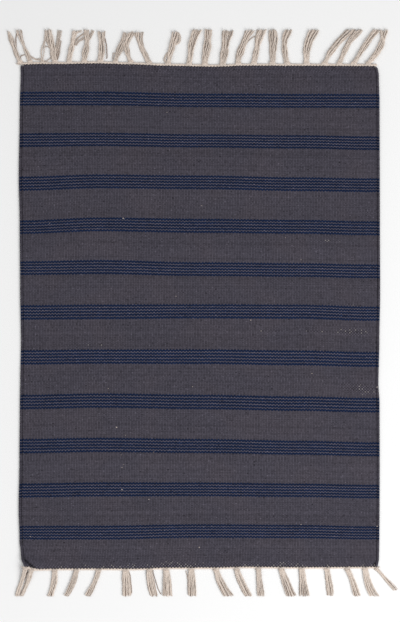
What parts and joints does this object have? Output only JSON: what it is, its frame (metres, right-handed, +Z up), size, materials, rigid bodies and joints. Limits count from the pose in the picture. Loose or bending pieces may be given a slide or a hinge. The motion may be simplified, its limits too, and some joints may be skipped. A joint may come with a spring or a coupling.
{
  "type": "kilim rug",
  "caption": "Small flat-woven rug, longer than wide, with narrow crosswise stripe bands, and at each end a twined edge and knotted tassels.",
  "frame": {"origin": "centre of the outer box in plan, on the floor that the rug lies on", "axes": "+Y along the rug towards the end with 23 tassels, +X across it, +Z up from the floor"},
  "size_m": [0.6546, 0.9482, 0.0078],
  "materials": {
    "woven_cotton": "matte weft-faced plain weave",
    "plain_cotton_yarn": "matte plied yarn"
  },
  "bodies": {
    "root": {"rug_cloth": "woven_cotton", "fringe_top": "plain_cotton_yarn", "fringe_bottom": "plain_cotton_yarn"}
  },
  "joints": []
}
